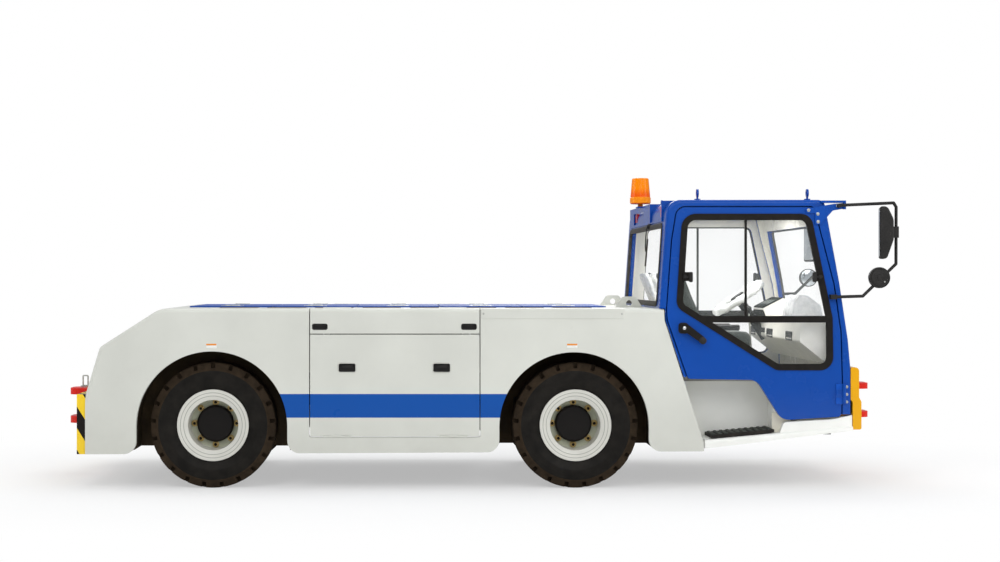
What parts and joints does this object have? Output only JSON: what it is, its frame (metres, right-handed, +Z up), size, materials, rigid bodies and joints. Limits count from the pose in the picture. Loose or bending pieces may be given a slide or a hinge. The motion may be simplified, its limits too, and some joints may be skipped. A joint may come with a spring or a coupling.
{
  "type": "aircraft tow tractor",
  "caption": "Low four-wheeled aircraft tow tractor with a long flat deck, a closed front cab, opening doors, lids and hatches, steered front wheels and a towbar jaw at each end.",
  "frame": {"origin": "on the ground under the middle of the overall box", "axes": "+X towards the cab end, +Y towards the left side, +Z up"},
  "size_m": [5.516, 2.3102, 2.06],
  "materials": {
    "body_white": "gloss",
    "cab_blue": "gloss",
    "liner_black": "matt, dusty",
    "hazard_tail": "gloss with black slanting bands",
    "hazard_nose": "gloss",
    "hitch_red": "gloss",
    "pin_steel": "zinc plated",
    "frame_grey": "satin",
    "power_cast": "rough cast",
    "tyre_rubber": "matt",
    "rim_white": "gloss, grey disc and black cap",
    "window_glass": "clear",
    "trim_black": "satin",
    "mirror_black": "satin, silvered faces",
    "cab_grey": "ribbed mat",
    "dash_cream": "grained",
    "seat_cloth": "woven",
    "grip_grey": "film wrapped",
    "amber_lens": "clear amber",
    "red_lens": "ribbed lens",
    "clear_lens": "clear lens"
  },
  "bodies": {
    "chassis": {"body_side_left": "body_white", "body_side_right": "body_white", "tail_panel": "body_white", "deck_plate": "body_white", "step_sill_left": "body_white", "step_sill_right": "body_white", "deck_lugs": "body_white", "cab_side_left": "cab_blue", "cab_side_right": "cab_blue", "cab_rear": "cab_blue", "cab_front": "cab_blue", "cab_roof": "cab_blue", "light_rack": "cab_blue", "roof_eyes": "cab_blue", "deck_covers": "cab_blue", "arch_liners": "liner_black", "tail_bumper": "hazard_tail", "nose_bumper": "hazard_nose", "tow_jaws": "hitch_red", "tow_pins": "pin_steel", "chassis_frame": "frame_grey", "front_axle": "frame_grey", "rear_axle": "frame_grey", "power_unit": "power_cast", "cab_glass": "window_glass", "step_treads": "trim_black", "steering_column": "trim_black", "cab_floor": "cab_grey", "dashboard": "dash_cream", "seats": "seat_cloth", "beacon": "amber_lens", "rear_lamps": "red_lens", "headlamps": "clear_lens"},
    "knuckle_left": {"knuckle_left": "frame_grey"},
    "wheel_front_left": {"tyre_front_left": "tyre_rubber", "rim_front_left": "rim_white"},
    "wheel_rear_left": {"tyre_rear_left": "tyre_rubber", "rim_rear_left": "rim_white"},
    "door_left": {"door_left": "cab_blue", "door_glass_left": "window_glass", "door_trim_left": "trim_black", "mirror_left": "mirror_black"},
    "lid_left": {"lid_left": "body_white"},
    "hatch_left": {"hatch_left": "body_white"},
    "knuckle_right": {"knuckle_right": "frame_grey"},
    "wheel_front_right": {"tyre_front_right": "tyre_rubber", "rim_front_right": "rim_white"},
    "wheel_rear_right": {"tyre_rear_right": "tyre_rubber", "rim_rear_right": "rim_white"},
    "door_right": {"door_right": "cab_blue", "door_glass_right": "window_glass", "door_trim_right": "trim_black", "mirror_right": "mirror_black"},
    "lid_right": {"lid_right": "body_white"},
    "hatch_right": {"hatch_right": "body_white"},
    "tie_rod": {"tie_rod": "frame_grey"},
    "steering_wheel": {"steering_wheel": "grip_grey"}
  },
  "joints": [
    {"name": "steer_right", "type": "hinge", "parent": "chassis", "child": "knuckle_right", "pos_m": [0.659, -0.645, 0.405], "axis": [0, 0, 1], "range_deg": [-30, 30]},
    {"name": "steer_left", "type": "hinge", "parent": "chassis", "child": "knuckle_left", "pos_m": [0.659, 0.645, 0.405], "axis": [0, 0, 1], "range_deg": [-30, 30]},
    {"name": "tie_rod_pivot", "type": "hinge", "parent": "knuckle_right", "child": "tie_rod", "pos_m": [0.479, -0.645, 0.412], "axis": [0, 0, 1], "range_deg": [-30, 30]},
    {"name": "wheel_turn", "type": "hinge", "parent": "chassis", "child": "steering_wheel", "pos_m": [1.953, 0.45, 1.212], "axis": [-0.5592, 0, 0.829], "range_deg": [-360, 360]},
    {"name": "spin_front_right", "type": "hinge", "parent": "knuckle_right", "child": "wheel_front_right", "pos_m": [0.659, -0.805, 0.405], "axis": [0, 1, 0], "continuous": true},
    {"name": "spin_rear_right", "type": "hinge", "parent": "chassis", "child": "wheel_rear_right", "pos_m": [-1.681, -0.805, 0.405], "axis": [0, 1, 0], "continuous": true},
    {"name": "door_hinge_right", "type": "hinge", "parent": "chassis", "child": "door_right", "pos_m": [2.373, -1.016, 1.2], "axis": [0, 0, 1], "range_deg": [0, 75]},
    {"name": "lid_hinge_right", "type": "hinge", "parent": "chassis", "child": "lid_right", "pos_m": [-0.5065, -0.883, 1.16], "axis": [-1, 0, 0], "range_deg": [0, 80]},
    {"name": "hatch_hinge_right", "type": "hinge", "parent": "chassis", "child": "hatch_right", "pos_m": [-0.5065, -1, 0.34], "axis": [1, 0, 0], "range_deg": [0, 90]},
    {"name": "spin_front_left", "type": "hinge", "parent": "knuckle_left", "child": "wheel_front_left", "pos_m": [0.659, 0.805, 0.405], "axis": [0, 1, 0], "continuous": true},
    {"name": "spin_rear_left", "type": "hinge", "parent": "chassis", "child": "wheel_rear_left", "pos_m": [-1.681, 0.805, 0.405], "axis": [0, 1, 0], "continuous": true},
    {"name": "door_hinge_left", "type": "hinge", "parent": "chassis", "child": "door_left", "pos_m": [2.373, 1.016, 1.2], "axis": [0, 0, -1], "range_deg": [0, 75]},
    {"name": "lid_hinge_left", "type": "hinge", "parent": "chassis", "child": "lid_left", "pos_m": [-0.5065, 0.883, 1.16], "axis": [1, 0, 0], "range_deg": [0, 80]},
    {"name": "hatch_hinge_left", "type": "hinge", "parent": "chassis", "child": "hatch_left", "pos_m": [-0.5065, 1, 0.34], "axis": [-1, 0, 0], "range_deg": [0, 90]}
  ],
  "couplings": [
    {"joint": "steer_left", "follows": "steer_right", "ratio": 1},
    {"joint": "tie_rod_pivot", "follows": "steer_right", "ratio": -1},
    {"joint": "wheel_turn", "follows": "steer_right", "ratio": 12}
  ]
}
